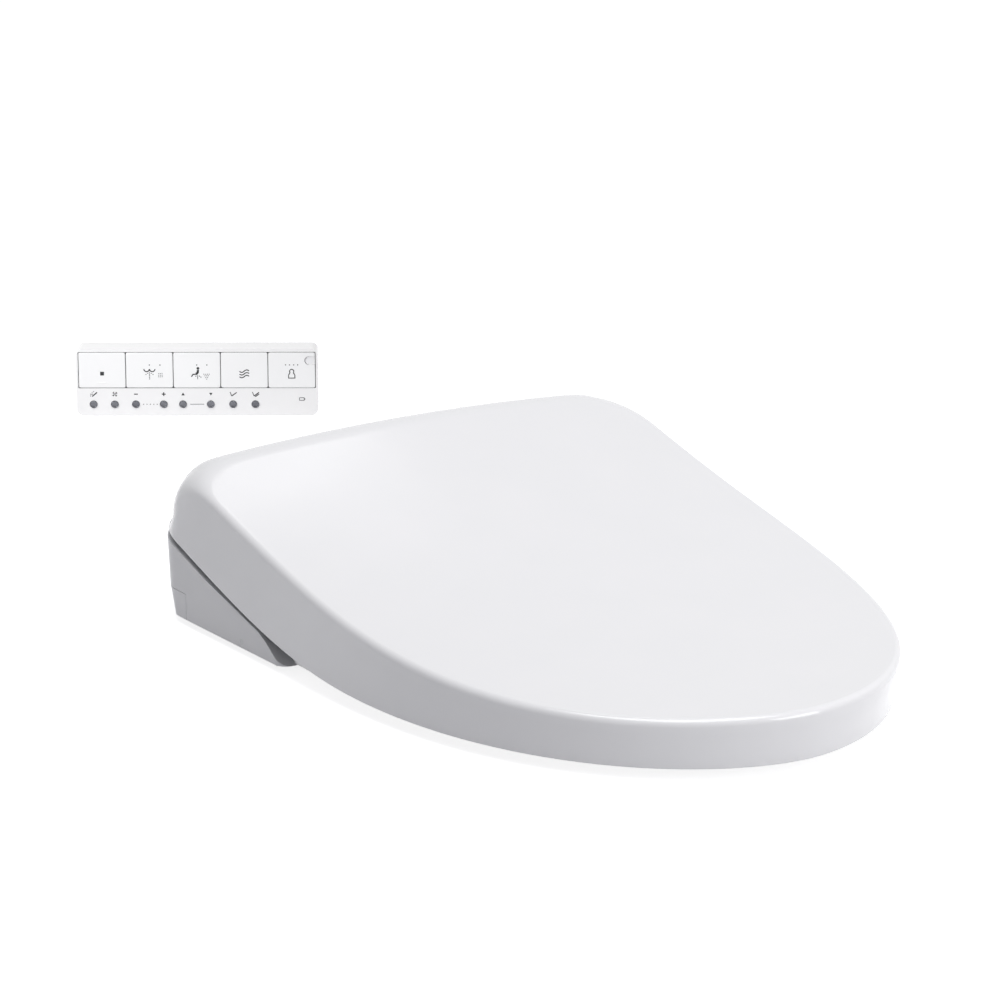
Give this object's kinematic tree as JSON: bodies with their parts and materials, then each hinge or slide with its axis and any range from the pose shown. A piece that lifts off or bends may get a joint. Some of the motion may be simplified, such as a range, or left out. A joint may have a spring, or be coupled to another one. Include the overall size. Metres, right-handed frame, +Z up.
{
  "type": "electric bidet seat",
  "caption": "Electric bidet seat: closed white lid and heated seat ring hinged on a flat base with wash wand, warm-air dryer and deodoriser, beside a keyed hand control",
  "frame": {"origin": "midway between the two bowl bolts, on the plane of the bowl's rim", "axes": "+Z up out of the bowl rim, +Y to the rear towards the wall, +X to the right of a viewer who looks at the front tip"},
  "size_m": [0.3832, 1.0399, 0.1211],
  "materials": {
    "white_gloss": "smooth moulded ABS",
    "liner_plastic": "satin moulded ABS",
    "inner_plastic": "moulded, unpainted",
    "dark_plastic": "moulded, unpainted",
    "soft_rubber": "soft",
    "white_rubber": "soft",
    "steel": "brushed",
    "damper_zinc": "grey coated",
    "brass_thread": "machined",
    "hose_rubber": "clear silicone",
    "board": "solder mask",
    "foil": "heating foil",
    "battery_wrap": "printed wrap",
    "button_chrome": "dark plated",
    "window_plastic": "infrared window"
  },
  "bodies": {
    "base": {"base_plate": "inner_plastic", "upper_casing": "white_gloss", "corner_cover": "white_gloss", "side_plugs": "liner_plastic", "mounting_bracket": "dark_plastic", "base_feet": "soft_rubber", "heater_tank": "steel", "solenoid_valve": "dark_plastic", "inlet_connector": "brass_thread", "water_hoses": "hose_rubber", "drain_plug": "dark_plastic", "wand_guide": "inner_plastic", "wand_motor": "dark_plastic", "fan_housing": "inner_plastic", "fan_motor": "steel", "dryer_duct": "inner_plastic", "deodoriser_fan": "inner_plastic", "control_board": "board", "power_module": "dark_plastic", "cord_gland": "soft_rubber", "hinge_pins": "steel", "soft_close_dampers": "damper_zinc", "remote_front_case": "white_gloss", "remote_back_case": "white_gloss", "batteries": "battery_wrap", "battery_contacts": "steel", "remote_board": "board", "remote_keypad": "soft_rubber", "remote_window": "window_plastic"},
    "seat": {"seat_shell": "white_gloss", "seat_base": "white_gloss", "seat_heater": "foil", "seat_pads": "white_rubber", "seat_hinge_arms": "white_gloss"},
    "lid": {"lid_shell": "white_gloss", "lid_liner": "liner_plastic", "lid_pads": "white_rubber", "lid_hinge_arms": "liner_plastic"},
    "wand": {"wand": "white_gloss", "nozzle_head": "steel"},
    "pinion": {"wand_pinion": "inner_plastic"},
    "flap": {"dryer_flap": "white_gloss"},
    "dryer_impeller": {"fan_impeller": "dark_plastic"},
    "deodoriser": {"deodoriser_impeller": "dark_plastic"},
    "filter": {"filter_cartridge": "liner_plastic"},
    "release": {"release_button": "liner_plastic"},
    "back_cover": {"battery_cover": "white_gloss"},
    "key_stop_body": {"key_stop": "white_gloss"},
    "key_rear_wash_body": {"key_rear_wash": "white_gloss"},
    "key_front_wash_body": {"key_front_wash": "white_gloss"},
    "key_dryer_body": {"key_dryer": "white_gloss"},
    "key_user_body": {"key_user": "white_gloss"},
    "button_clean_body": {"button_clean": "button_chrome"},
    "button_fan_body": {"button_fan": "button_chrome"},
    "button_minus_body": {"button_minus": "button_chrome"},
    "button_plus_body": {"button_plus": "button_chrome"},
    "button_down_body": {"button_down": "button_chrome"},
    "button_up_body": {"button_up": "button_chrome"},
    "button_lid_body": {"button_lid": "button_chrome"},
    "button_seat_body": {"button_seat": "button_chrome"}
  },
  "joints": [
    {"name": "seat_hinge", "type": "hinge", "parent": "base", "child": "seat", "pos_m": [0, 0.0434, 0.084], "axis": [-1, 0, 0], "range_deg": [0, 98]},
    {"name": "lid_hinge", "type": "hinge", "parent": "seat", "child": "lid", "pos_m": [0, 0.0434, 0.084], "axis": [1, 0, 0], "range_deg": [-98, 0]},
    {"name": "wand_slide", "type": "slide", "parent": "base", "child": "wand", "axis": [0, -0.9063, -0.4226], "range_m": [0, 0.085]},
    {"name": "pinion_turn", "type": "hinge", "parent": "base", "child": "pinion", "pos_m": [0, -0.07337, 0.03242], "axis": [-1, 0, 0], "range_deg": [0, 720]},
    {"name": "flap_hinge", "type": "hinge", "parent": "base", "child": "flap", "pos_m": [0.071, -0.082, 0.0036], "axis": [1, 0, 0], "range_deg": [0, 60], "stiffness_Nm_per_rad": 0.002, "springref_deg": -28.65},
    {"name": "dryer_fan", "type": "hinge", "parent": "base", "child": "dryer_impeller", "pos_m": [0.072, -0.042, 0.032], "axis": [0, 0, 1], "continuous": true},
    {"name": "deodoriser_fan_turn", "type": "hinge", "parent": "base", "child": "deodoriser", "pos_m": [0.124, -0.024, 0.017], "axis": [1, 0, 0], "continuous": true},
    {"name": "filter_pull", "type": "slide", "parent": "base", "child": "filter", "axis": [1, 0, 0], "range_m": [0, 0.06]},
    {"name": "release_press", "type": "slide", "parent": "base", "child": "release", "axis": [-1, 0, 0], "range_m": [0, 0.004], "stiffness_N_per_m": 300, "springref_m": -0.004},
    {"name": "battery_cover_pull", "type": "slide", "parent": "base", "child": "back_cover", "axis": [0.5446, 0.8387, 0], "range_m": [0, 0.012]},
    {"name": "key_stop_press", "type": "slide", "parent": "base", "child": "key_stop_body", "axis": [0.5446, 0.8387, 0], "range_m": [0, 0.0008], "stiffness_N_per_m": 800, "springref_m": -0.0008},
    {"name": "key_rear_wash_press", "type": "slide", "parent": "base", "child": "key_rear_wash_body", "axis": [0.5446, 0.8387, 0], "range_m": [0, 0.0008], "stiffness_N_per_m": 800, "springref_m": -0.0008},
    {"name": "key_front_wash_press", "type": "slide", "parent": "base", "child": "key_front_wash_body", "axis": [0.5446, 0.8387, 0], "range_m": [0, 0.0008], "stiffness_N_per_m": 800, "springref_m": -0.0008},
    {"name": "key_dryer_press", "type": "slide", "parent": "base", "child": "key_dryer_body", "axis": [0.5446, 0.8387, 0], "range_m": [0, 0.0008], "stiffness_N_per_m": 800, "springref_m": -0.0008},
    {"name": "key_user_press", "type": "slide", "parent": "base", "child": "key_user_body", "axis": [0.5446, 0.8387, 0], "range_m": [0, 0.0008], "stiffness_N_per_m": 800, "springref_m": -0.0008},
    {"name": "button_clean_press", "type": "slide", "parent": "base", "child": "button_clean_body", "axis": [0.5446, 0.8387, 0], "range_m": [0, 0.0006], "stiffness_N_per_m": 600, "springref_m": -0.0006},
    {"name": "button_fan_press", "type": "slide", "parent": "base", "child": "button_fan_body", "axis": [0.5446, 0.8387, 0], "range_m": [0, 0.0006], "stiffness_N_per_m": 600, "springref_m": -0.0006},
    {"name": "button_minus_press", "type": "slide", "parent": "base", "child": "button_minus_body", "axis": [0.5446, 0.8387, 0], "range_m": [0, 0.0006], "stiffness_N_per_m": 600, "springref_m": -0.0006},
    {"name": "button_plus_press", "type": "slide", "parent": "base", "child": "button_plus_body", "axis": [0.5446, 0.8387, 0], "range_m": [0, 0.0006], "stiffness_N_per_m": 600, "springref_m": -0.0006},
    {"name": "button_down_press", "type": "slide", "parent": "base", "child": "button_down_body", "axis": [0.5446, 0.8387, 0], "range_m": [0, 0.0006], "stiffness_N_per_m": 600, "springref_m": -0.0006},
    {"name": "button_up_press", "type": "slide", "parent": "base", "child": "button_up_body", "axis": [0.5446, 0.8387, 0], "range_m": [0, 0.0006], "stiffness_N_per_m": 600, "springref_m": -0.0006},
    {"name": "button_lid_press", "type": "slide", "parent": "base", "child": "button_lid_body", "axis": [0.5446, 0.8387, 0], "range_m": [0, 0.0006], "stiffness_N_per_m": 600, "springref_m": -0.0006},
    {"name": "button_seat_press", "type": "slide", "parent": "base", "child": "button_seat_body", "axis": [0.5446, 0.8387, 0], "range_m": [0, 0.0006], "stiffness_N_per_m": 600, "springref_m": -0.0006}
  ],
  "couplings": [
    {"joint": "pinion_turn", "follows": "wand_slide", "rad_per_m": 125}
  ]
}
